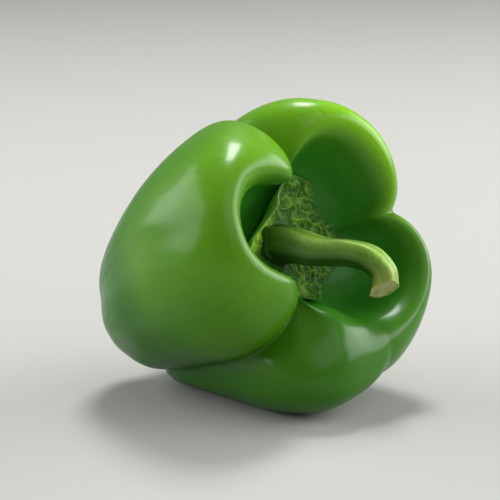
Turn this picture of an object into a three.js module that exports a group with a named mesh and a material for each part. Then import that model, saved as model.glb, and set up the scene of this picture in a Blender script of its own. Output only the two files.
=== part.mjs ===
// Green bell pepper with its calyx and curved stem, lying on its side as it comes to rest.
// Units are millimetres and +Z is up. The origin is on the ground, under the middle of the pepper.
// Each piece is first shaped in the stem frame: +X runs out along the stem axis, and an angle
// round the axis is measured from +Y towards +Z. Then all pieces are laid down together.

import * as THREE from 'three';
import { mergeVertices } from 'three/addons/utils/BufferGeometryUtils.js';

// How the pepper lies
const STEM_RISE = 21.7;      // degrees that the stem end is raised
const ROLL = 4.6;            // degrees of turn round the stem axis
const FLATTENED = 0.9;       // depth of flesh that is pressed flat where it rests

// One meridian over the fullest part of a lobe and one along a deep groove, each from the floor
// of the stem hollow, over the shoulder, to the blossom end: [along the stem axis, radius]
const CREST = [
  [13, 0], [13.5, 9], [15.5, 17], [20, 23], [27, 27], [34, 30.5], [37.5, 35], [35, 39.5],
  [27, 42.5], [14, 42.5], [0, 40], [-14, 36], [-27, 29.5], [-36, 20], [-39, 11], [-35, 0],
];
const GROOVE = [
  [13, 0], [13.3, 8], [14.8, 14], [18, 17.5], [22, 19.5], [26, 21.5], [27.5, 25], [25.5, 29.5],
  [19, 33], [9, 34], [-3, 32.5], [-15, 29], [-26, 23], [-33, 16], [-35.5, 8.5], [-35, 0],
];

// The grooves between the lobes: angle down the side, angle in the stem hollow, and how much
// of the full groove each shows in both places. The last one only creases the lower lobe.
const GROOVES = [
  { side: -2, mouth: -2, depth: 0.6, mouthDepth: 0.6 },
  { side: 93, mouth: 84, depth: 1, mouthDepth: 1.1 },
  { side: 228, mouth: 242, depth: 1, mouthDepth: 1.35 },
  { side: 283, mouth: 286, depth: 0.1, mouthDepth: 0.1 },
];

// The lobe that follows each groove: size of its hollow wall, its belly and its blossom end,
// how far its shoulder stands out, and how much fuller it is towards its second groove
const LOBES = [
  { inner: 0.98, wide: 0.98, low: 0.97, lip: 0, lean: 0 },
  { inner: 1.04, wide: 1.06, low: 1.12, lip: 3.5, lean: 0.05 },
  { inner: 0.82, wide: 1.14, low: 0.74, lip: -1, lean: 0 },
  { inner: 1.14, wide: 1.04, low: 0.86, lip: 0, lean: -0.06 },
];

// Places where a lobe's shoulder swells over the hollow or the belly is fuller: angle and width in
// degrees, place and length along the meridian, share of the radius that the skin moves inwards,
// and how far it moves out along the stem axis
const SWELLINGS = [
  { angle: 113, width: 25, along: 0.325, length: 0.11, inwards: 0.38, forwards: 3.8 },
  { angle: 100, width: 14, along: 0.55, length: 0.1, inwards: -0.06, forwards: 0 },
  { angle: 212, width: 27, along: 0.33, length: 0.12, inwards: 0.28, forwards: 3.2 },
  { angle: 223, width: 13, along: 0.5, length: 0.13, inwards: -0.08, forwards: 1 },
  { angle: 258, width: 16, along: 0.3, length: 0.1, inwards: 0.12, forwards: 1 },
];

const CREASE_MOUTH = 0.32;   // roundness of a lobe in the hollow: lower is fuller
const CREASE_SIDE = 0.45;    // roundness of a lobe down the side
const CREASE_SOFT = 0.08;    // how softly a groove's bottom is rounded
const DROOP_FROM = 20;       // place on the stem axis where the body starts to droop
const DROOP_SPAN = 58;       // length of the drooping stretch
const DROOP_Y = -3;          // sideways shift of the blossom end
const DROOP_Z = -12;         // downward shift of the blossom end

// Calyx
const CALYX_BETWEEN = 18;    // radius between two teeth
const CALYX_TOOTH = 4;       // extra reach of a tooth
const CALYX_TEETH = 5;
const CALYX_FIRST_TOOTH = 53;
const CALYX_HIGHEST = 0.17;  // the furthest it climbs along the meridian
const CALYX_GAP = 0.4;       // clearance over the flesh at the stem
const CALYX_EDGE_GAP = 1.1;  // extra clearance at the edge, which stands off the flesh
const CALYX_THICK = 1.1;
const CALYX_CRINKLE = 0.6;   // height of the ribs and puckers

// One side of the calyx is folded up: the angle where it stands highest, how fast the fold falls
// off before and after it, its height, and how much shorter it makes the calyx
const FLAP = { angle: 115, before: 35, after: 70, rise: 9, shorter: 6 };
const FLAP_EDGE = 10.8;      // distance of the flap's straight edge from the stem axis
const FLAP_EDGE_ANGLE = 124; // angle round the axis of the edge's middle

// Stem: points of its centre line and the radius at each, from the calyx to the cut end
const STEM = [
  [16.2, 0, 0, 6.3], [17.4, 0, 0, 5.5], [18.5, 0, 0, 5.3], [21, 1.2, -1.9, 5], [24, 3.7, -4.3, 4.5],
  [27.5, 6.4, -6.3, 4], [32, 9.6, -8.4, 3.8], [36.5, 12, -11.8, 3.9], [39, 12.6, -16.5, 3.8],
  [38.4, 11.4, -21, 3.9],
];
const CUT_SLANT = 2.2;       // how far the slanting cut leaves one side longer than the middle
const CUT_SHORT_SIDE = 100;  // angle round the stem of the shorter side
const STEM_RIBS = 5;
const STEM_RIB_HEIGHT = 0.08;

// Number of faces round and along each piece
const POD_ROUND = 72;
const POD_ALONG = 52;
const CALYX_ROUND = 80;
const CALYX_RINGS = 7;
const STEM_ROUND = 20;
const STEM_ALONG = 27;
const STEM_CAP = 2;

const radians = THREE.MathUtils.degToRad;

// 0 before a, 1 after b, and a smooth ramp between
function ramp(a, b, value) {
  const k = THREE.MathUtils.clamp((value - a) / (b - a), 0, 1);
  return k * k * (3 - 2 * k);
}

const crestCurve = new THREE.SplineCurve(CREST.map(([x, r]) => new THREE.Vector2(x, r)));
const grooveCurve = new THREE.SplineCurve(GROOVE.map(([x, r]) => new THREE.Vector2(x, r)));

function wrapped(list, index) {
  return list[(index + list.length) % list.length];
}

// Angle of a groove at a place along the meridian, in degrees
function grooveAngle(index, along) {
  const groove = wrapped(GROOVES, index);
  const turns = Math.floor(index / GROOVES.length) * 360;
  return turns + THREE.MathUtils.lerp(groove.mouth, groove.side, ramp(0.36, 0.54, along));
}

function grooveDepth(index, along) {
  const groove = wrapped(GROOVES, index);
  return THREE.MathUtils.lerp(groove.mouthDepth, groove.depth, ramp(0.36, 0.54, along));
}

// 0 at a lobe's two grooves and 1 at its middle
function bulge(across, crease) {
  const curve = (s) => (s * s + CREASE_SOFT ** 2) ** (crease / 2);
  return (curve(Math.sin(Math.PI * across)) - curve(0)) / (curve(1) - curve(0));
}

// A lobe's value, blended into its neighbour's towards the groove between them
function blended(index, across, name) {
  const neighbour = across > 0.5 ? index + 1 : index - 1;
  const share = 0.5 * (1 - Math.cos(Math.PI * Math.abs(across - 0.5)));
  return THREE.MathUtils.lerp(LOBES[index][name], wrapped(LOBES, neighbour)[name], share);
}

// A point of the pod's skin: which lobe, the place across it, and the place along the meridian
function podPoint(index, across, along) {
  const degrees = THREE.MathUtils.lerp(grooveAngle(index, along), grooveAngle(index + 1, along), across);
  const between = across * across * (3 - 2 * across);
  const depth = THREE.MathUtils.lerp(grooveDepth(index, along), grooveDepth(index + 1, along), between);
  const crease = THREE.MathUtils.lerp(CREASE_MOUTH, CREASE_SIDE, ramp(0.36, 0.54, along));
  const full = 1 - depth * (1 - bulge(across, crease));

  const crest = crestCurve.getPoint(along);
  const groove = grooveCurve.getPoint(along);
  const outside = ramp(0.25, 0.5, along);
  const size = THREE.MathUtils.lerp(blended(index, across, 'wide'), blended(index, across, 'low'),
    ramp(0.55, 0.9, along));
  const lean = 1 - LOBES[index].lean * Math.sin(2 * Math.PI * across) * ramp(0.4, 0.62, along);
  const shoulder = Math.exp(-(((along - 0.42) / 0.13) ** 2));
  const crestX = crest.x + blended(index, across, 'lip') * shoulder;
  const crestR = crest.y * THREE.MathUtils.lerp(blended(index, across, 'inner'), size * lean, outside);

  let x = THREE.MathUtils.lerp(groove.x, crestX, full);
  let radius = THREE.MathUtils.lerp(groove.y, crestR, full);
  for (const swelling of SWELLINGS) {
    const aside = (degrees - swelling.angle) / swelling.width;
    const ahead = (along - swelling.along) / swelling.length;
    const near = Math.exp(-(aside ** 2) - ahead ** 2);
    x += swelling.forwards * near;
    radius *= 1 - swelling.inwards * near;
  }
  const droop = along > 0.3 ? Math.max(0, (DROOP_FROM - x) / DROOP_SPAN) ** 2 : 0;
  const angle = radians(degrees);
  return new THREE.Vector3(
    x,
    radius * Math.cos(angle) + DROOP_Y * droop,
    radius * Math.sin(angle) + DROOP_Z * droop,
  );
}

// A closed shape from a sphere: pointAt takes the share of the way round and from pole to pole
function fromSphere(round, steps, pointAt) {
  const sphere = new THREE.SphereGeometry(1, round, steps);
  const place = sphere.attributes.position;
  const uv = sphere.attributes.uv;
  const columns = round + 1;
  for (let i = 0; i < place.count; i += 1) {
    const row = Math.floor(i / columns);
    const atPole = row === 0 || row === steps;
    const turn = atPole ? 0 : (i % columns % round) / round;
    const point = pointAt(turn, 1 - uv.getY(i));
    place.setXYZ(i, point.x, point.y, point.z);
  }
  sphere.deleteAttribute('normal');
  sphere.deleteAttribute('uv');
  return mergeVertices(sphere, 1e-3);
}

// The pod: more columns close to the grooves, where the skin turns sharply
function podGeometry() {
  const start = GROOVES[0].side;
  return fromSphere(POD_ROUND, POD_ALONG, (turn, along) => {
    const degrees = start + 360 * turn;
    let index = 0;
    while (degrees >= grooveAngle(index + 1, 1)) index += 1;
    const from = grooveAngle(index, 1);
    const even = (degrees - from) / (grooveAngle(index + 1, 1) - from);
    const across = even - 0.6 * Math.sin(2 * Math.PI * even) / (2 * Math.PI);
    return podPoint(index, across, along);
  });
}

// The floor and wall of the stem hollow at an angle round the axis
function hollowPoint(degrees, along) {
  let index = 0;
  while (degrees >= grooveAngle(index + 1, 0)) index += 1;
  const from = grooveAngle(index, 0);
  return podPoint(index, (degrees - from) / (grooveAngle(index + 1, 0) - from), along);
}

// 1 where the calyx is folded up highest, and 0 far from there
function fold(degrees) {
  const width = degrees < FLAP.angle ? FLAP.before : FLAP.after;
  return Math.exp(-(((degrees - FLAP.angle) / width) ** 2));
}

// How far up the hollow the calyx reaches at an angle, found by halving
function calyxReach(degrees) {
  const tooth = 0.5 + 0.5 * Math.cos(radians(CALYX_TEETH * (degrees - CALYX_FIRST_TOOTH)));
  const leaf = CALYX_BETWEEN + CALYX_TOOTH * tooth ** 1.5 - FLAP.shorter * fold(degrees);
  const straight = FLAP_EDGE / Math.max(Math.cos(radians(degrees - FLAP_EDGE_ANGLE)), 0.01);
  const wanted = Math.min(leaf, straight);
  let low = 0;
  let high = CALYX_HIGHEST;
  for (let i = 0; i < 24; i += 1) {
    const middle = (low + high) / 2;
    const point = hollowPoint(degrees, middle);
    if (Math.hypot(point.y, point.z) < wanted) low = middle;
    else high = middle;
  }
  return low;
}

// The calyx: a crinkled dish that lines the bottom of the stem hollow, with one side folded up
function calyxGeometry() {
  const steps = 2 * CALYX_RINGS + 1;
  const start = GROOVES[0].mouth;
  return fromSphere(CALYX_ROUND, steps, (turn, way) => {
    const row = Math.round(way * steps);
    const top = row <= CALYX_RINGS;
    const out = (top ? row : steps - row) / CALYX_RINGS;
    const degrees = start + 360 * turn;
    const point = hollowPoint(degrees, out * calyxReach(degrees));
    point.x += CALYX_GAP + CALYX_EDGE_GAP * out ** 2 + FLAP.rise * fold(degrees) * out ** 7;
    if (top) {
      const ribs = Math.sin(radians(16 * degrees)) * Math.sin(radians(3 * degrees) + 9 * out);
      point.x += CALYX_THICK + CALYX_CRINKLE * Math.abs(ribs) * ramp(0.35, 0.6, out);
    }
    return point;
  });
}

// The stem: a ribbed tube along its centre line, flared at the calyx and cut off flat
function stemGeometry() {
  const line = new THREE.CatmullRomCurve3(STEM.map(([x, y, z]) => new THREE.Vector3(x, y, z)),
    false, 'catmullrom', 0.5);
  const radiusCurve = new THREE.SplineCurve(STEM.map(([, , , r], i) => new THREE.Vector2(i, r)));
  const steps = STEM_ALONG + 2 * STEM_CAP;
  return fromSphere(STEM_ROUND, steps, (turn, way) => {
    const row = Math.round(way * steps);
    const along = THREE.MathUtils.clamp((steps - row - STEM_CAP) / STEM_ALONG, 0, 1);
    const capShare = Math.min(1, Math.min(row, steps - row) / STEM_CAP);
    const tangent = line.getTangent(along);
    const side = new THREE.Vector3(0, 1, 0).addScaledVector(tangent, -tangent.y).normalize();
    const up = new THREE.Vector3().crossVectors(tangent, side);
    const angle = 2 * Math.PI * turn;
    const rib = 1 + STEM_RIB_HEIGHT * Math.cos(STEM_RIBS * angle);
    const radius = radiusCurve.getPoint(along).y * rib * capShare;
    const slant = CUT_SLANT * ramp(0.75, 1, along) * capShare;
    return line.getPoint(along)
      .addScaledVector(tangent, -slant * Math.cos(angle - radians(CUT_SHORT_SIDE)))
      .addScaledVector(side, radius * Math.cos(angle))
      .addScaledVector(up, radius * Math.sin(angle));
  });
}

// Lay the shapes down together, so that the pod presses FLATTENED into the ground,
// and stand the middle of the pod's box over the origin
function layDown(shapes) {
  const turn = new THREE.Matrix4().makeRotationY(-radians(STEM_RISE));
  turn.multiply(new THREE.Matrix4().makeRotationX(radians(ROLL)));
  shapes.forEach((shape) => shape.applyMatrix4(turn));
  const [pod] = shapes;
  pod.computeBoundingBox();
  const middle = pod.boundingBox.getCenter(new THREE.Vector3());
  const floor = pod.boundingBox.min.z + FLATTENED;
  shapes.forEach((shape) => shape.translate(-middle.x, -middle.y, -floor));
}

// Press flat what would be under the ground
function flatten(shape) {
  const place = shape.attributes.position;
  for (let i = 0; i < place.count; i += 1) {
    if (place.getZ(i) < 0) place.setZ(i, 0);
  }
}

const skin = new THREE.MeshStandardMaterial({ color: 0x3f7a17, roughness: 0.25, metalness: 0 });
const calyxGreen = new THREE.MeshStandardMaterial({ color: 0x53702e, roughness: 0.75, metalness: 0 });
const stemGreen = new THREE.MeshStandardMaterial({ color: 0x7f9440, roughness: 0.6, metalness: 0 });

const pod = podGeometry();
const calyx = calyxGeometry();
const stem = stemGeometry();
layDown([pod, calyx, stem]);
flatten(pod);

const pepper = new THREE.Group();
const pieces = [['pod', pod, skin], ['calyx', calyx, calyxGreen], ['stem', stem, stemGreen]];
for (const [name, geometry, material] of pieces) {
  const mesh = new THREE.Mesh(geometry, material);
  mesh.name = name;
  pepper.add(mesh);
}

export default pepper;
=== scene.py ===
# %% [markdown]
# # A green bell pepper
# This lesson dresses a plain model of a green bell pepper so that it looks fresh and waxy. The plain
# model gives the size and the place of each piece. The finer pieces here follow the same form.

# %% The plain model
import math
import bmesh
import bpy
from mathutils import Matrix, Vector, noise


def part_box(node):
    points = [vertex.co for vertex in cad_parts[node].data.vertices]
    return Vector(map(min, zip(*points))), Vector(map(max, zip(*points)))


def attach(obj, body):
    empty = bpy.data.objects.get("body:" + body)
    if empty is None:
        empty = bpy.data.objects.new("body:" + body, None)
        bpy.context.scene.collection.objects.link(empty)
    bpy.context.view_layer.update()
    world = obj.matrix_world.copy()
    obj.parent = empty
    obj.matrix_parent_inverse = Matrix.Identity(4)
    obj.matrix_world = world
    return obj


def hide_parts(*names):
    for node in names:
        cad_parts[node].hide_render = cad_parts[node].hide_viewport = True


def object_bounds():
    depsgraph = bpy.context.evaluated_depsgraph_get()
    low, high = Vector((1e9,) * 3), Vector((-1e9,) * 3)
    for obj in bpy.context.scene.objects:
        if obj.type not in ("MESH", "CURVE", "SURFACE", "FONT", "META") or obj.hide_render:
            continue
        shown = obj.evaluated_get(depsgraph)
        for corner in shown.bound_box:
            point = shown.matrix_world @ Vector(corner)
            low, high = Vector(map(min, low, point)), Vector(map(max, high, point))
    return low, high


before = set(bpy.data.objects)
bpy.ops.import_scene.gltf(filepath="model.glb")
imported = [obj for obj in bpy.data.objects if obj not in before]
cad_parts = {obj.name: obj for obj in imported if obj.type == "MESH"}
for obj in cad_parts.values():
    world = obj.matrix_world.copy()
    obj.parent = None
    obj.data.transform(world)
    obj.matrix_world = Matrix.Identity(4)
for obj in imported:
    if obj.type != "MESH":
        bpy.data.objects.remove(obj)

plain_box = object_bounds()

MM = 0.001
print("pieces of the plain model:", ", ".join(sorted(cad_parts)))

# %% [markdown]
# ## How it lies
# A bell pepper tapers, so it rolls onto its side and comes to rest with the stem end a little
# raised. It is easiest to shape it round a straight stem axis and to lay it down afterwards. Here the
# stem axis is +X while a piece is shaped, in millimetres, and the angle round it is counted from +Y
# towards +Z.

# %% How it lies
# How far the stem axis rises and the pepper is rolled, in degrees, and how deep its rest is pressed in
STEM_RISE = 21.7
ROLL = 4.6
FLATTENED = 0.9
print("the stem axis rises", STEM_RISE, "degrees")

# %% [markdown]
# ## The lobes
# The fruit grows as three lobes round a core, and its skin dips between them. One way to make that is
# to sculpt a ball by hand. A rule is easier to correct: one meridian runs over the fullest part of a
# lobe, one runs along a groove, and every other meridian is a blend of the two.

# %% The two meridians
# From the floor of the stem hollow over the shoulder to the blossom end: place on the axis, radius
CREST = (
    (13, 0), (13.5, 9), (15.5, 17), (20, 23), (27, 27), (34, 30.5), (37.5, 35), (35, 39.5),
    (27, 42.5), (14, 42.5), (0, 40), (-14, 36), (-27, 29.5), (-36, 20), (-39, 11), (-35, 0),
)
GROOVE = (
    (13, 0), (13.3, 8), (14.8, 14), (18, 17.5), (22, 19.5), (26, 21.5), (27.5, 25), (25.5, 29.5),
    (19, 33), (9, 34), (-3, 32.5), (-15, 29), (-26, 23), (-33, 16), (-35.5, 8.5), (-35, 0),
)

# %% The grooves and the lobes
# side and mouth: the groove's angle down the side and in the stem hollow, in degrees
GROOVES = (
    dict(side=-2, mouth=-2, depth=0.6, mouth_depth=0.6),
    dict(side=93, mouth=84, depth=1.0, mouth_depth=1.1),
    dict(side=228, mouth=242, depth=1.0, mouth_depth=1.35),
    dict(side=283, mouth=286, depth=0.1, mouth_depth=0.1),
)
# inner, wide and low: size of the hollow's wall, of the belly and of the blossom end
# lip: how far the shoulder's edge stands forwards; lean: how far the crest leans to one side
# the last: how much painted light the lobe's shoulders get, as a lighter yellow-green
LOBES = (
    dict(inner=0.98, wide=0.98, low=0.97, lip=0.0, lean=0.0, painted_light_amount=1.0),
    dict(inner=1.04, wide=1.06, low=1.12, lip=3.5, lean=0.05, painted_light_amount=0.36),
    dict(inner=0.82, wide=1.14, low=0.74, lip=-1.0, lean=0.0, painted_light_amount=0.0),
    dict(inner=1.14, wide=1.04, low=0.86, lip=0.0, lean=-0.06, painted_light_amount=0.1),
)
# Where a shoulder swells over the hollow: its angle and width, its place and length along the
# meridian, the share of the radius that the skin moves inwards, and how far it moves forwards
SWELLINGS = (
    (113, 25, 0.325, 0.11, 0.38, 3.8),
    (100, 14, 0.55, 0.10, -0.06, 0.0),
    (212, 27, 0.33, 0.12, 0.28, 3.2),
    (223, 13, 0.5, 0.13, -0.08, 1.0),
    (258, 16, 0.30, 0.10, 0.12, 1.0),
)
# How the skin turns in at a groove: the smaller, the sharper. The third softens the groove's bottom
CREASE_MOUTH = 0.32
CREASE_SIDE = 0.45
CREASE_SOFT = 0.08
# Along a meridian, the change from the stem hollow's values to the side's
TO_THE_SIDE = (0.36, 0.54)
# The blossom end droops: from where on the axis, over what length, and by how much
DROOP_FROM = 20
DROOP_SPAN = 58
DROOP = Vector((0, -3, -12))
print("grooves:", len(GROOVES), "of which one is only a faint crease")


# %% Blending values and points
def ramp(a, b, value):
    """0 before a, 1 after b, and a smooth ramp between."""
    k = min(max((value - a) / (b - a), 0), 1)
    return k * k * (3 - 2 * k)


def mix(a, b, share):
    return a + (b - a) * share


def along_curve(points, share):
    """A point of the smooth curve through the points, at a share of its way."""
    last = len(points) - 1
    place = min(max(share, 0), 1) * last
    i = min(int(place), last - 1)
    w = place - i
    p0, p1, p2, p3 = points[max(i - 1, 0)], points[i], points[i + 1], points[min(i + 2, last)]
    result = []
    for a, b, c, d in zip(p0, p1, p2, p3):
        u, v = (c - a) / 2, (d - b) / 2
        result.append(((2 * b - 2 * c + u + v) * w + (-3 * b + 3 * c - 2 * u - v)) * w * w + u * w + b)
    return result


# %% [markdown]
# ## A point of the skin
# Across a lobe the skin is round in the middle and turns in sharply at both grooves. In the stem
# hollow the grooves wander a little, and each lobe has its own fullness. The blossom end droops.

# %% A point of the skin
def groove_value(index, side, mouth, along):
    groove = GROOVES[index % len(GROOVES)]
    return mix(groove[mouth], groove[side], ramp(*TO_THE_SIDE, along))


def groove_angle(index, along):
    return groove_value(index, "side", "mouth", along) + 360 * (index // len(GROOVES))


def bulge(across, crease):
    """0 at a lobe's two grooves and 1 at its middle."""
    low = CREASE_SOFT ** crease
    high = (1 + CREASE_SOFT**2) ** (crease / 2)
    here = (math.sin(math.pi * across) ** 2 + CREASE_SOFT**2) ** (crease / 2)
    return (here - low) / (high - low)


def blended(index, across, name):
    """A lobe's value, blended into its neighbour's towards the groove between them."""
    neighbour = index + 1 if across > 0.5 else index - 1
    share = 0.5 * (1 - math.cos(math.pi * abs(across - 0.5)))
    return mix(LOBES[index][name], LOBES[neighbour % len(LOBES)][name], share)


def skin_point(index, across, along):
    """The point, its fullness from groove to crest, and its angle round the stem in degrees."""
    degrees = mix(groove_angle(index, along), groove_angle(index + 1, along), across)
    between = across * across * (3 - 2 * across)
    depth = mix(
        groove_value(index, "depth", "mouth_depth", along),
        groove_value(index + 1, "depth", "mouth_depth", along),
        between,
    )
    crease = mix(CREASE_MOUTH, CREASE_SIDE, ramp(*TO_THE_SIDE, along))
    full = 1 - depth * (1 - bulge(across, crease))

    crest_x, crest_r = along_curve(CREST, along)
    groove_x, groove_r = along_curve(GROOVE, along)
    outside = ramp(0.25, 0.5, along)
    size = mix(blended(index, across, "wide"), blended(index, across, "low"), ramp(0.55, 0.9, along))
    lean = 1 - LOBES[index]["lean"] * math.sin(2 * math.pi * across) * ramp(0.4, 0.62, along)
    crest_x += blended(index, across, "lip") * math.exp(-(((along - 0.42) / 0.13) ** 2))
    crest_r *= mix(blended(index, across, "inner"), size * lean, outside)

    x, radius = mix(groove_x, crest_x, full), mix(groove_r, crest_r, full)
    for at, width, place, length, inwards, forwards in SWELLINGS:
        near = math.exp(-(((degrees - at) / width) ** 2) - ((along - place) / length) ** 2)
        x += forwards * near
        radius *= 1 - inwards * near
    angle = math.radians(degrees)
    point = Vector((x, radius * math.cos(angle), radius * math.sin(angle)))
    if along > 0.3:
        point += DROOP * max(0, (DROOP_FROM - x) / DROOP_SPAN) ** 2
    return point, full, degrees


def skin_place(degrees, along, level):
    """Which lobe an angle falls in, and how far across it, with the grooves taken at a level."""
    index = 0
    while degrees >= groove_angle(index + 1, level):
        index += 1
    start = groove_angle(index, level)
    return index, (degrees - start) / (groove_angle(index + 1, level) - start)


# %% [markdown]
# ## From a ball to a shape
# A ball already has closed poles and clean rings, so each piece starts as one. Every point of the
# ball knows its turn round the axis and its row from pole to pole, and a rule moves it from there.
# The rule also gives shares for the paint. They are kept as attributes of the mesh, together with the
# place that each point had round the straight stem axis, in millimetres, where the patterns grew.

# %% From a ball to a shape
def shape_ball(name, around, rows, rule, shares):
    """A ball whose points are moved by the rule, with the shares that the rule gives at each."""
    ball = bmesh.new()
    bmesh.ops.create_uvsphere(ball, u_segments=around, v_segments=rows, radius=1)
    grown_at = ball.verts.layers.float_vector.new("grown_at")
    layers = [ball.verts.layers.float.new(share) for share in shares]
    for vert in ball.verts:
        row = round(math.acos(min(max(vert.co.z, -1), 1)) / math.pi * rows)
        turn = round(math.atan2(vert.co.y, vert.co.x) / math.tau * around) % around / around
        point, values = rule(turn, row)
        vert.co = point
        vert[grown_at] = point
        for layer, value in zip(layers, values):
            vert[layer] = value
    mesh = bpy.data.meshes.new(name)
    ball.to_mesh(mesh)
    ball.free()
    mesh.shade_smooth()
    piece = bpy.data.objects.new(name, mesh)
    bpy.context.scene.collection.objects.link(piece)
    return piece


# %% [markdown]
# ## The pod
# The skin of a real pepper is never quite even: it has broad soft dents, shallow flutes that run from
# stem to tip, and a dimpled scar where the flower was. These are in the mesh, because they bend the
# reflections. The rings of points crowd towards the grooves, where the skin turns sharply.

# %% Soft dents and flutes
DENT_SIZE, DENT_DEPTH = 26, 0.5
RIPPLE_SIZE, RIPPLE_DEPTH = 8, 0.08
FLUTE_SIZE, FLUTE_DEPTH = 7, 0.2
CLOUD_SIZE = 22
POD_RADIUS = 40
# Longer flutes down the big lobes: angle, width in degrees, depth
LONG_FLUTES = ((166, 7, 0.75), (196, 9, 0.5), (60, 9, 0.4))


def relief(point, degrees, along):
    """How far the skin stands out of its smooth form here, in millimetres."""
    angle = math.radians(degrees)
    dents = noise.noise(point / DENT_SIZE) * DENT_DEPTH
    ripples = noise.noise(point / RIPPLE_SIZE + Vector((7, 3, 1))) * RIPPLE_DEPTH
    round_it = Vector((math.cos(angle), math.sin(angle), 0)) * POD_RADIUS / FLUTE_SIZE
    flutes = noise.noise(round_it + Vector((0, 0, 2.2 * along))) * FLUTE_DEPTH
    for at, width, depth in LONG_FLUTES:
        flutes -= depth * math.exp(-(((degrees - at) / width) ** 2)) * ramp(0.45, 0.55, along)
    outside = ramp(0.3, 0.5, along) * (1 - ramp(0.85, 1, along))
    return (dents + flutes) * outside + ripples


# %% Make the pod
POD_AROUND = 360
POD_ROWS = 250
RINGS_CROWD = 0.6
# Along a meridian: the end of the hollow, the shoulder that gets the painted light, the wrinkled tail
HOLLOW_ENDS = (0.24, 0.38)
SHOULDER_STARTS = (0.3, 0.4)
SHOULDER_ENDS = (0.44, 0.76)
TAIL_STARTS = (0.58, 0.8)
WANDER = 0.08


def pod_rule(turn, row):
    along = row / POD_ROWS
    index, even = skin_place(GROOVES[0]["side"] + 360 * turn, along, 1)
    across = even - RINGS_CROWD * math.sin(math.tau * even) / math.tau
    point, full, degrees = skin_point(index, across, along)
    angle = math.radians(degrees)
    out = Vector((0.35 * (0.5 - along), math.cos(angle), math.sin(angle))).normalized()
    clouds = ramp(-0.5, 0.5, noise.noise(point / CLOUD_SIZE + Vector((2, 5, 0))))
    wander = WANDER * noise.noise(point / CLOUD_SIZE)
    shoulder = ramp(*SHOULDER_STARTS, along) * (1 - ramp(*SHOULDER_ENDS, along + wander))
    # painted light: the lit shoulders are painted a lighter yellow-green, by a share set per lobe
    painted_light = blended(index, across, "painted_light_amount") * mix(0.2, 1, shoulder) * mix(0.75, 1, full) * mix(0.7, 1, clouds)
    hollow = 1 - ramp(*HOLLOW_ENDS, along)
    tail = ramp(*TAIL_STARTS, along + wander)
    point += out * relief(point, degrees, along)
    return point, (full, hollow, painted_light, tail)


pod = shape_ball("pod_skin", POD_AROUND, POD_ROWS, pod_rule, ("full", "hollow", "painted_light", "tail"))
print("pod:", len(pod.data.polygons), "faces")

# %% [markdown]
# ## The calyx
# The calyx is the green dish at the stem's foot. It was the flower's cup, and it has a tooth for each
# of the flower's outer leaves. On a picked pepper it is crinkled and lies over the bottom of the stem
# hollow, and its edge stands off the skin. A dish that follows the hollow's own floor fits it best.

# %% The calyx's outline
# Its reach in millimetres between two teeth, and how much further a tooth goes
CALYX_BETWEEN = 18
CALYX_TOOTH = 4
CALYX_TEETH = 5
CALYX_FIRST_TOOTH = 53
CALYX_RAGGED = 1.0
# How far along the hollow's meridian it may reach
CALYX_HIGHEST = 0.17
HALVINGS = 18
# It clears the skin by the gap, and by the edge gap more at its edge
CALYX_GAP = 0.4
CALYX_EDGE_GAP = 1.1
CALYX_THICK = 1.0
CALYX_EDGE = 0.5
# The side that is folded up: the angle of its middle, how far it spreads, and how high it rises
FLAP_ANGLE = 115
FLAP_BEFORE = 35
FLAP_AFTER = 70
FLAP_RISE = 9
FLAP_SHORTER = 6
# The folded side ends in a straight edge: its distance from the stem axis, the angle of its middle
FLAP_EDGE = 10.8
FLAP_EDGE_ANGLE = 124


def fold(degrees):
    """1 where the calyx is folded up highest, and 0 far from there."""
    width = FLAP_BEFORE if degrees < FLAP_ANGLE else FLAP_AFTER
    return math.exp(-(((degrees - FLAP_ANGLE) / width) ** 2))


def hollow_point(degrees, along):
    """A point on the floor or wall of the stem hollow."""
    index, across = skin_place(degrees, along, 0)
    return skin_point(index, across, along)[0]


def calyx_reach(degrees):
    """How far up the hollow the calyx reaches at an angle, found by halving."""
    angle = math.radians(degrees)
    tooth = 0.5 + 0.5 * math.cos(CALYX_TEETH * (angle - math.radians(CALYX_FIRST_TOOTH)))
    edge = Vector((math.cos(angle), math.sin(angle), 0))
    ragged = CALYX_RAGGED * (noise.noise(edge * 4) + 0.5 * noise.noise(edge * 11))
    leaf = CALYX_BETWEEN + CALYX_TOOTH * tooth**1.5 + ragged - FLAP_SHORTER * fold(degrees)
    straight = FLAP_EDGE / max(math.cos(math.radians(degrees - FLAP_EDGE_ANGLE)), 0.01)
    wanted = min(leaf, straight)
    low, high = 0, CALYX_HIGHEST
    for _ in range(HALVINGS):
        middle = (low + high) / 2
        point = hollow_point(degrees, middle)
        if math.hypot(point.y, point.z) < wanted:
            low = middle
        else:
            high = middle
    return low


# %% [markdown]
# The leaf of the calyx is crumpled in two sizes. A ridged noise gives the thin sharp folds, and a
# finer one gives the puckers between them.

# %% Make the calyx
CALYX_AROUND = 480
CALYX_RINGS = 80
CALYX_ROWS = 2 * CALYX_RINGS + 1
CALYX_START = GROOVES[0]["mouth"]
FOLD_SIZE, FOLD_HEIGHT = 2.9, 0.85
PUCKER_SIZE, PUCKER_HEIGHT = 1.1, 0.35
BEND_SIZE, BEND = 3, 1.5
REACH = [calyx_reach(CALYX_START + 360 * i / CALYX_AROUND) for i in range(CALYX_AROUND)]


def crumple(point):
    """Height of the folds and puckers, in millimetres, from 0 in the dips."""
    flat = Vector((point.y, point.z, 5))
    sideways = noise.noise(flat / BEND_SIZE + Vector((9, 0, 0)))
    bend = Vector((noise.noise(flat / BEND_SIZE), sideways, 0)) * BEND
    folds = max(1 - abs(noise.noise((flat + bend) / FOLD_SIZE)) * 2.2, 0) ** 3
    puckers = max(1 - abs(noise.noise((flat + bend) / PUCKER_SIZE)) * 2, 0) ** 2
    return folds * FOLD_HEIGHT + puckers * PUCKER_HEIGHT


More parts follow.
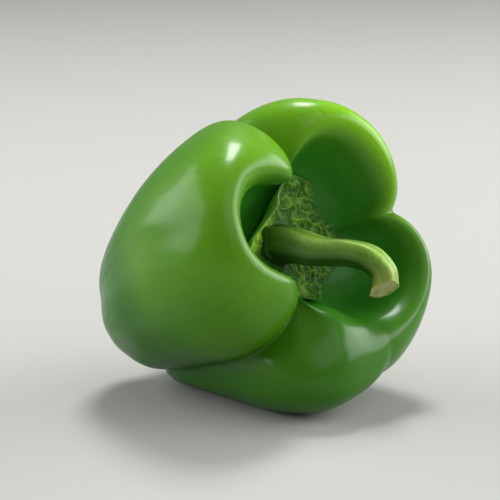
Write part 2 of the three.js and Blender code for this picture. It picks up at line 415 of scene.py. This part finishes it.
def calyx_rule(turn, row):
    top = row <= CALYX_RINGS
    out = (row if top else CALYX_ROWS - row) / CALYX_RINGS
    degrees = CALYX_START + 360 * turn
    point = hollow_point(degrees, out * REACH[round(turn * CALYX_AROUND)])
    height = crumple(point) * ramp(0.25, 0.5, out) * (1 - 0.6 * ramp(0.85, 1, out))
    point.x += CALYX_GAP + CALYX_EDGE_GAP * out**2 + FLAP_RISE * fold(degrees) * out**7
    if top:
        point.x += mix(CALYX_THICK, CALYX_EDGE, out**2) + height
    # painted light and shade: the fold tops are painted lighter and the dips darker
    painted_fold_light = height / (FOLD_HEIGHT + PUCKER_HEIGHT)
    # painted highlight: a pale edge along the folded-up side
    painted_edge_highlight = ramp(0.92, 1, out) * fold(degrees)
    # the last share is painted light: the folded-up part is painted a lighter green
    return point, (painted_fold_light, painted_edge_highlight, ramp(0.15, 0.6, fold(degrees)) * ramp(0.35, 0.65, out))


calyx = shape_ball("calyx_dish", CALYX_AROUND, CALYX_ROWS, calyx_rule, ("painted_fold_light", "painted_edge_highlight", "painted_flap_light"))
print("calyx:", len(calyx.data.polygons), "faces")

# %% [markdown]
# ## The stem
# The fruit stalk is a ribbed, woody tube that flares where it joins the calyx, bends under the
# fruit's weight, and ends in the slanting cut that the picker made. A swept tube gives the bend, but
# its ends and ribs are easier to control when each ring of a long ball is placed on the centre line.

# %% The stem's centre line
# From its foot to its cut: the place in millimetres, and the radius
STEM = (
    (14.3, 0, 0, 6.4), (16.2, 0, 0, 5.8), (18, 0.1, -0.3, 5.3), (21, 1.2, -1.9, 5), (24, 3.7, -4.3, 4.5),
    (27.5, 6.4, -6.3, 4), (32, 9.6, -8.4, 3.8), (36.5, 12, -11.8, 3.9), (39, 12.6, -16.5, 3.8),
    (38.4, 11.4, -21, 3.9),
)
STEM_RIBS = 5
RIB_TURN = 0.9
BETWEEN_RIBS, RIB_HEIGHT = 0.92, 0.14
GRAIN, KNOTS = 0.03, 0.06
CUT_SLANT = 2.2
CUT_SHORT_SIDE = math.radians(100)
STEM_AROUND = 120
STEM_RINGS = 190
STEM_CAP = 12
STEM_ROWS = STEM_RINGS + 2 * STEM_CAP


def stem_rule(turn, row):
    share = min(max((STEM_ROWS - row - STEM_CAP) / STEM_RINGS, 0), 1)
    cap = min(1, row / STEM_CAP, (STEM_ROWS - row) / STEM_CAP)
    *here, radius = along_curve(STEM, share)
    ahead = Vector(along_curve(STEM, min(share + 0.01, 1))[:3])
    behind = Vector(along_curve(STEM, max(share - 0.01, 0))[:3])
    tangent = (ahead - behind).normalized()
    side = (Vector((0, 1, 0)) - tangent * tangent.y).normalized()
    up = tangent.cross(side)
    angle = math.tau * turn
    around = Vector((math.cos(angle), math.sin(angle), 0))
    rib = 0.5 + 0.5 * math.cos(STEM_RIBS * (angle - RIB_TURN) + 1.2 * share)
    grain = GRAIN * noise.noise(around * 3.5 + Vector((0, 0, 4 * share)))
    knots = KNOTS * noise.noise(around + Vector((0, 0, 9 * share)))
    flare = 1 + 0.07 * ramp(0.95, 1, share)
    radius *= (BETWEEN_RIBS + RIB_HEIGHT * rib**1.5 + grain + knots) * flare
    point = Vector(here) + (side * around.x + up * around.y) * radius * cap
    slant = CUT_SLANT * ramp(0.75, 1, share) * cap
    point -= tangent * slant * math.cos(angle - CUT_SHORT_SIDE)
    pith = 0
    if share == 1:
        rough = noise.noise(Vector((around.x, around.y, 0)) * cap * 3)
        point -= tangent * (0.6 * (1 - ramp(0.8, 1, cap)) + 0.3 * rough * (1 - ramp(0.9, 1, cap)))
        pith = 1 - ramp(0.86, 0.98, cap)
    # painted light: the top side is painted lighter, most on the ribs
    painted_top_light = ramp(-0.3, 1, math.sin(angle)) * mix(0.55, 1, rib)
    return point, (ramp(0.12, 0.5, share), ramp(0.84, 1, share), painted_top_light, pith)


stem = shape_ball("stem_stalk", STEM_AROUND, STEM_ROWS, stem_rule, ("woody", "dry", "painted_top_light", "pith"))
print("stem:", len(stem.data.polygons), "faces")

# %% [markdown]
# ## Laid down
# All pieces turn together, and the pod's lowest flesh is pressed flat on the ground. The plain model
# says where the pod's box is, so the pieces go to the same place.

# %% Laid down
turned = Matrix.Rotation(math.radians(-STEM_RISE), 4, "Y") @ Matrix.Rotation(math.radians(ROLL), 4, "X")
for piece in (pod, calyx, stem):
    piece.data.transform(turned)

pod_low, pod_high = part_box("pod")
spots = [vert.co for vert in pod.data.vertices]
low = Vector([min(spot[k] for spot in spots) for k in range(3)])
high = Vector([max(spot[k] for spot in spots) for k in range(3)])
middle = (low + high) / 2
goal = (Vector(pod_low) + Vector(pod_high)) / 2
shift = Matrix.Translation((goal.x, goal.y, pod_low[2])) @ Matrix.Scale(MM, 4)
shift = shift @ Matrix.Translation((-middle.x, -middle.y, -low.z - FLATTENED))
for piece in (pod, calyx, stem):
    piece.data.transform(shift)
for vert in pod.data.vertices:
    vert.co.z = max(vert.co.z, pod_low[2])
print("pod size in mm:", [round(side / MM, 1) for side in pod.dimensions])


# %% [markdown]
# ## Colours and nodes
# Colours are picked as sRGB hex values, as in a paint program, and Blender's nodes work in linear
# light. One function turns the one into the other. Another adds a node with its settings and links.

# %% Colours and nodes
def linear(code):
    """A linear RGBA colour from an sRGB hex code."""
    parts = [int(code[i : i + 2], 16) / 255 for i in (1, 3, 5)]
    return [c / 12.92 if c <= 0.04045 else ((c + 0.055) / 1.055) ** 2.4 for c in parts] + [1]


def add(tree, kind, inputs=(), output=None, **settings):
    """A node with its settings, whose inputs are values or links. Gives one of its outputs."""
    node = tree.nodes.new(kind)
    for name, value in settings.items():
        setattr(node, name, value)
    for name, value in dict(inputs).items():
        socket = next(socket for socket in node.inputs if socket.enabled and socket.name == name)
        if isinstance(value, bpy.types.NodeSocket):
            tree.links.new(value, socket)
        else:
            socket.default_value = value
    found = [socket for socket in node.outputs if socket.enabled and output in (None, socket.name)]
    return found[0] if found else None


def new_material(name, piece):
    """The empty node tree of a new material on a piece."""
    material = bpy.data.materials.new(name)
    material.use_nodes = True
    material.node_tree.nodes.clear()
    piece.data.materials.append(material)
    return material.node_tree


# %% [markdown]
# ## Waxy pepper skin
# The skin is a thin, clear wax over green flesh. The flesh lets a little light in, which softens its
# shadows, and the wax gives a broad soft gleam with a sharper one on top. The shoulders are painted a
# lighter yellow-green as painted light, by a different amount on each lobe, and the grooves are painted
# a darker green as painted shade. The stem hollow is a bluer green. Towards the blossom end the green
# deepens, and the skin has faint lengthwise wrinkles.

# %% Waxy pepper skin
STREAK_SIZE = 1.6
WRINKLE_SIZE = 2.4
SPECK_SPACING = 1.7
PEEL_SIZE = 1.2

tree = new_material("waxy_pepper_skin", pod)
grown_at = add(tree, "ShaderNodeAttribute", output="Vector", attribute_name="grown_at")
full = add(tree, "ShaderNodeAttribute", output="Fac", attribute_name="full")
hollow = add(tree, "ShaderNodeAttribute", output="Fac", attribute_name="hollow")
# painted light: the share of lighter yellow-green on the lit shoulders
painted_light = add(tree, "ShaderNodeAttribute", output="Fac", attribute_name="painted_light")
tail = add(tree, "ShaderNodeAttribute", output="Fac", attribute_name="tail")
lengthwise = add(tree, "ShaderNodeMapping", {"Vector": grown_at, "Scale": (0.08, 1, 1)})

# painted shade: the grooves get a darker green than the crests
painted_groove_shade, fresh_green = linear("#25600A"), linear("#316C0C")
flesh = add(tree, "ShaderNodeMix", {"Factor": full, "A": painted_groove_shade, "B": fresh_green}, data_type="RGBA")
# painted light: the lit shoulders turn a lighter yellow-green
flesh = add(tree, "ShaderNodeMix", {"Factor": painted_light, "A": flesh, "B": linear("#86C60E")}, data_type="RGBA")
flesh = add(tree, "ShaderNodeMix", {"Factor": tail, "A": flesh, "B": linear("#28680C")}, data_type="RGBA")
flesh = add(tree, "ShaderNodeMix", {"Factor": hollow, "A": flesh, "B": linear("#32801F")}, data_type="RGBA")

streaks = add(tree, "ShaderNodeTexNoise", {"Vector": lengthwise, "Scale": 1 / STREAK_SIZE, "Detail": 3})
streaky = add(
    tree,
    "ShaderNodeMapRange",
    {"Value": streaks, "From Min": 0.5, "From Max": 0.75, "To Max": 0.2},
    interpolation_type="SMOOTHSTEP",
)
flesh = add(tree, "ShaderNodeMix", {"Factor": streaky, "A": flesh, "B": linear("#2C6610")}, data_type="RGBA")
specks = add(tree, "ShaderNodeTexVoronoi", {"Vector": grown_at, "Scale": 1 / SPECK_SPACING})
speckled = add(
    tree,
    "ShaderNodeMapRange",
    {"Value": specks, "From Min": 0.05, "From Max": 0.16, "To Min": 0.18, "To Max": 0},
    interpolation_type="SMOOTHSTEP",
)
flesh = add(tree, "ShaderNodeMix", {"Factor": speckled, "A": flesh, "B": linear("#6E9C3A")}, data_type="RGBA")

peel = add(tree, "ShaderNodeTexNoise", {"Vector": grown_at, "Scale": 1 / PEEL_SIZE, "Detail": 2})
skin_bump = add(tree, "ShaderNodeBump", {"Height": peel, "Strength": 0.1, "Distance": 0.2 * MM})
wrinkles = add(tree, "ShaderNodeTexNoise", {"Vector": lengthwise, "Scale": 1 / WRINKLE_SIZE, "Detail": 1})
skin_bump = add(
    tree,
    "ShaderNodeBump",
    {"Height": wrinkles, "Strength": tail, "Distance": 0.7 * MM, "Normal": skin_bump},
)
skin = add(
    tree,
    "ShaderNodeBsdfPrincipled",
    {
        "Base Color": flesh,
        "Roughness": 0.4,
        "Specular IOR Level": 0.1,
        "Normal": skin_bump,
        "Subsurface Weight": 0.15,
        "Subsurface Radius": (0.4, 1.0, 0.15),
        "Subsurface Scale": 2 * MM,
        "Coat Weight": 0.38,
        "Coat Roughness": 0.19,
        "Coat IOR": 1.45,
    },
)
add(tree, "ShaderNodeOutputMaterial", {"Surface": skin})
print("skin:", len(tree.nodes), "nodes")

# %% [markdown]
# ## Dry calyx leaf
# The calyx is leaf, not fruit: it has no wax, so it is almost matt. Its folds are painted paler and the
# dips between them darker, as painted light and shade. The folded-up part is painted a lighter green as
# painted light, and its thin edge carries a nearly yellow painted highlight.

# %% Dry calyx leaf
tree = new_material("crinkled_calyx_leaf", calyx)
grown_at = add(tree, "ShaderNodeAttribute", output="Vector", attribute_name="grown_at")
painted_fold_light = add(tree, "ShaderNodeAttribute", output="Fac", attribute_name="painted_fold_light")
painted_edge_highlight = add(tree, "ShaderNodeAttribute", output="Fac", attribute_name="painted_edge_highlight")
painted_flap_light = add(tree, "ShaderNodeAttribute", output="Fac", attribute_name="painted_flap_light")

# painted light and shade: lighter on the fold tops, darker in the dips
painted_dip_shade, painted_fold_light_green = linear("#1E5A0A"), linear("#86B440")
leaf = add(tree, "ShaderNodeMix", {"Factor": painted_fold_light, "A": painted_dip_shade, "B": painted_fold_light_green}, data_type="RGBA")
mottle = add(tree, "ShaderNodeTexNoise", {"Vector": grown_at, "Scale": 1 / 2.5, "Detail": 4})
mottled = add(
    tree,
    "ShaderNodeMapRange",
    {"Value": mottle, "From Min": 0.45, "From Max": 0.7, "To Max": 0.5},
    interpolation_type="SMOOTHSTEP",
)
leaf = add(tree, "ShaderNodeMix", {"Factor": mottled, "A": leaf, "B": linear("#4C8020")}, data_type="RGBA")
# painted light: the folded-up part is painted a lighter yellow-green
leaf = add(tree, "ShaderNodeMix", {"Factor": painted_flap_light, "A": leaf, "B": linear("#9CD034")}, data_type="RGBA")
# painted highlight along the folded-up edge
leaf = add(tree, "ShaderNodeMix", {"Factor": painted_edge_highlight, "A": leaf, "B": linear("#D2E2A0")}, data_type="RGBA")
veins = add(
    tree,
    "ShaderNodeTexVoronoi",
    {"Vector": grown_at, "Scale": 1 / 1.4},
    feature="DISTANCE_TO_EDGE",
)
leaf_bump = add(tree, "ShaderNodeBump", {"Height": veins, "Strength": 0.4, "Distance": 0.3 * MM})
surface = add(
    tree,
    "ShaderNodeBsdfPrincipled",
    {
        "Base Color": leaf,
        "Roughness": 0.5,
        "Specular IOR Level": 0.25,
        "Normal": leaf_bump,
        "Subsurface Weight": 0.1,
        "Subsurface Radius": (0.5, 1.0, 0.2),
        "Subsurface Scale": 1 * MM,
    },
)
add(tree, "ShaderNodeOutputMaterial", {"Surface": surface})
print("calyx leaf:", len(tree.nodes), "nodes")

# %% [markdown]
# ## Woody stalk
# The stalk is darker at its foot, painted a lighter yellow-green along its top and most on its ribs as
# painted light, and duller at the cut, where it has dried. The cut itself is pale pith inside a ring of
# fibres.

# %% Woody stalk
tree = new_material("ribbed_stalk", stem)
grown_at = add(tree, "ShaderNodeAttribute", output="Vector", attribute_name="grown_at")
woody = add(tree, "ShaderNodeAttribute", output="Fac", attribute_name="woody")
dry = add(tree, "ShaderNodeAttribute", output="Fac", attribute_name="dry")
painted_top_light = add(tree, "ShaderNodeAttribute", output="Fac", attribute_name="painted_top_light")
pith = add(tree, "ShaderNodeAttribute", output="Fac", attribute_name="pith")

# painted light and shade: a lighter green on the top side, a darker one below
painted_shade_green, painted_lit_green = linear("#365E1C"), linear("#9CC650")
stalk = add(tree, "ShaderNodeMix", {"Factor": painted_top_light, "A": painted_shade_green, "B": painted_lit_green}, data_type="RGBA")
# darker towards the foot
stalk = add(tree, "ShaderNodeMix", {"Factor": woody, "A": linear("#1C4412"), "B": stalk}, data_type="RGBA")
fibre = add(tree, "ShaderNodeTexNoise", {"Vector": grown_at, "Scale": 1 / 1.2, "Detail": 5})
fibrous = add(
    tree,
    "ShaderNodeMapRange",
    {"Value": fibre, "From Min": 0.5, "From Max": 0.75, "To Max": 0.4},
    interpolation_type="SMOOTHSTEP",
)
stalk = add(tree, "ShaderNodeMix", {"Factor": fibrous, "A": stalk, "B": linear("#416620")}, data_type="RGBA")
stalk = add(tree, "ShaderNodeMix", {"Factor": dry, "A": stalk, "B": linear("#92A24A")}, data_type="RGBA")
stalk = add(tree, "ShaderNodeMix", {"Factor": pith, "A": stalk, "B": linear("#B4B67A")}, data_type="RGBA")
stalk_bump = add(tree, "ShaderNodeBump", {"Height": fibre, "Strength": 0.35, "Distance": 0.2 * MM})
surface = add(
    tree,
    "ShaderNodeBsdfPrincipled",
    {
        "Base Color": stalk,
        "Roughness": 0.38,
        "IOR": 1.42,
        "Normal": stalk_bump,
        "Subsurface Weight": 0.1,
        "Subsurface Radius": (0.6, 1.0, 0.3),
        "Subsurface Scale": 1 * MM,
    },
)
add(tree, "ShaderNodeOutputMaterial", {"Surface": surface})
print("stalk:", len(tree.nodes), "nodes")

# %% Each piece stands for its plain one
for piece, node, slot in ((pod, "pod", "skin"), (calyx, "calyx", "calyx"), (stem, "stem", "stem")):
    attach(piece, "root")
    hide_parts(node)

# %% [markdown]
# ## The camera
# A long lens from the front and a little above shows the stem hollow and the left lobe together.
# Long lenses flatten the shape, as a product picture does.

# %% The camera
CAMERA_AZIMUTH = 46.8
CAMERA_RISE = 13
CAMERA_AWAY = 0.7
CAMERA_LENS = 178
SENSOR = 36

scene = bpy.context.scene
centre = (Vector(plain_box[0]) + Vector(plain_box[1])) / 2
azimuth, rise = math.radians(CAMERA_AZIMUTH), math.radians(CAMERA_RISE)
back = Vector((math.sin(azimuth) * math.cos(rise), -math.cos(azimuth) * math.cos(rise), math.sin(rise)))
right = Vector((math.cos(azimuth), math.sin(azimuth), 0))
up = back.cross(right)
camera = bpy.data.objects.new("camera", bpy.data.cameras.new("camera"))
camera.data.lens = CAMERA_LENS
camera.data.sensor_width = SENSOR
camera.location = centre + back * CAMERA_AWAY
camera.rotation_mode = "QUATERNION"
camera.rotation_quaternion = (-back).to_track_quat("-Z", "Y")
scene.collection.objects.link(camera)
scene.camera = camera
print("camera at", [round(part, 3) for part in camera.location])

# %% [markdown]
# ## Floor and light
# Gloss shows only what it reflects, so the lights decide how the skin reads. A large window to the
# left gives the broad gleam on the big lobe, one to the right draws the bright line along its lip,
# a small lamp overhead picks out the tops of the shoulders, and a weak one in front lifts the stem.

# %% Floor
FLOOR_RADIUS = 3

floor_mesh = bmesh.new()
bmesh.ops.create_circle(floor_mesh, cap_ends=True, segments=96, radius=FLOOR_RADIUS)
floor = bpy.data.objects.new("floor", bpy.data.meshes.new("floor"))
floor_mesh.to_mesh(floor.data)
floor_mesh.free()
scene.collection.objects.link(floor)
tree = new_material("pale_paper", floor)
paper = add(tree, "ShaderNodeBsdfPrincipled", {"Base Color": linear("#ACACA8"), "Roughness": 0.8})
add(tree, "ShaderNodeOutputMaterial", {"Surface": paper})


# %% Lights
def panel(name, aside, over, behind, width, height, power):
    """A soft light panel, placed in metres as the camera sees it and turned to the pepper."""
    light = bpy.data.lights.new(name, "AREA")
    light.shape = "RECTANGLE"
    light.size, light.size_y = width, height
    light.energy = power
    lamp = bpy.data.objects.new(name, light)
    lamp.location = centre + right * aside + up * over + back * behind
    lamp.rotation_mode = "QUATERNION"
    lamp.rotation_quaternion = (centre - lamp.location).to_track_quat("-Z", "Y")
    scene.collection.objects.link(lamp)


# aside, over, behind, width and height in metres, and power in watts
panel("left_window", -0.9, 0.4, 0, 1.25, 0.7, 9.5)
panel("right_window", 0.91, 0.4, -0.15, 1.2, 0.55, 11)
panel("overhead", 0.05, 0.97, -0.2, 0.25, 0.4, 8)
panel("front_fill", 0.45, 0.5, 0.75, 0.8, 0.8, 2.6)

# %% The room's own light
ROOM_LIGHT = 0.22
WHITE = (1, 1, 1, 1)

world = bpy.data.worlds.new("pale_room")
scene.world = world
world.use_nodes = True
world.node_tree.nodes["Background"].inputs["Color"].default_value = WHITE
world.node_tree.nodes["Background"].inputs["Strength"].default_value = ROOM_LIGHT
scene.view_settings.view_transform = "Standard"
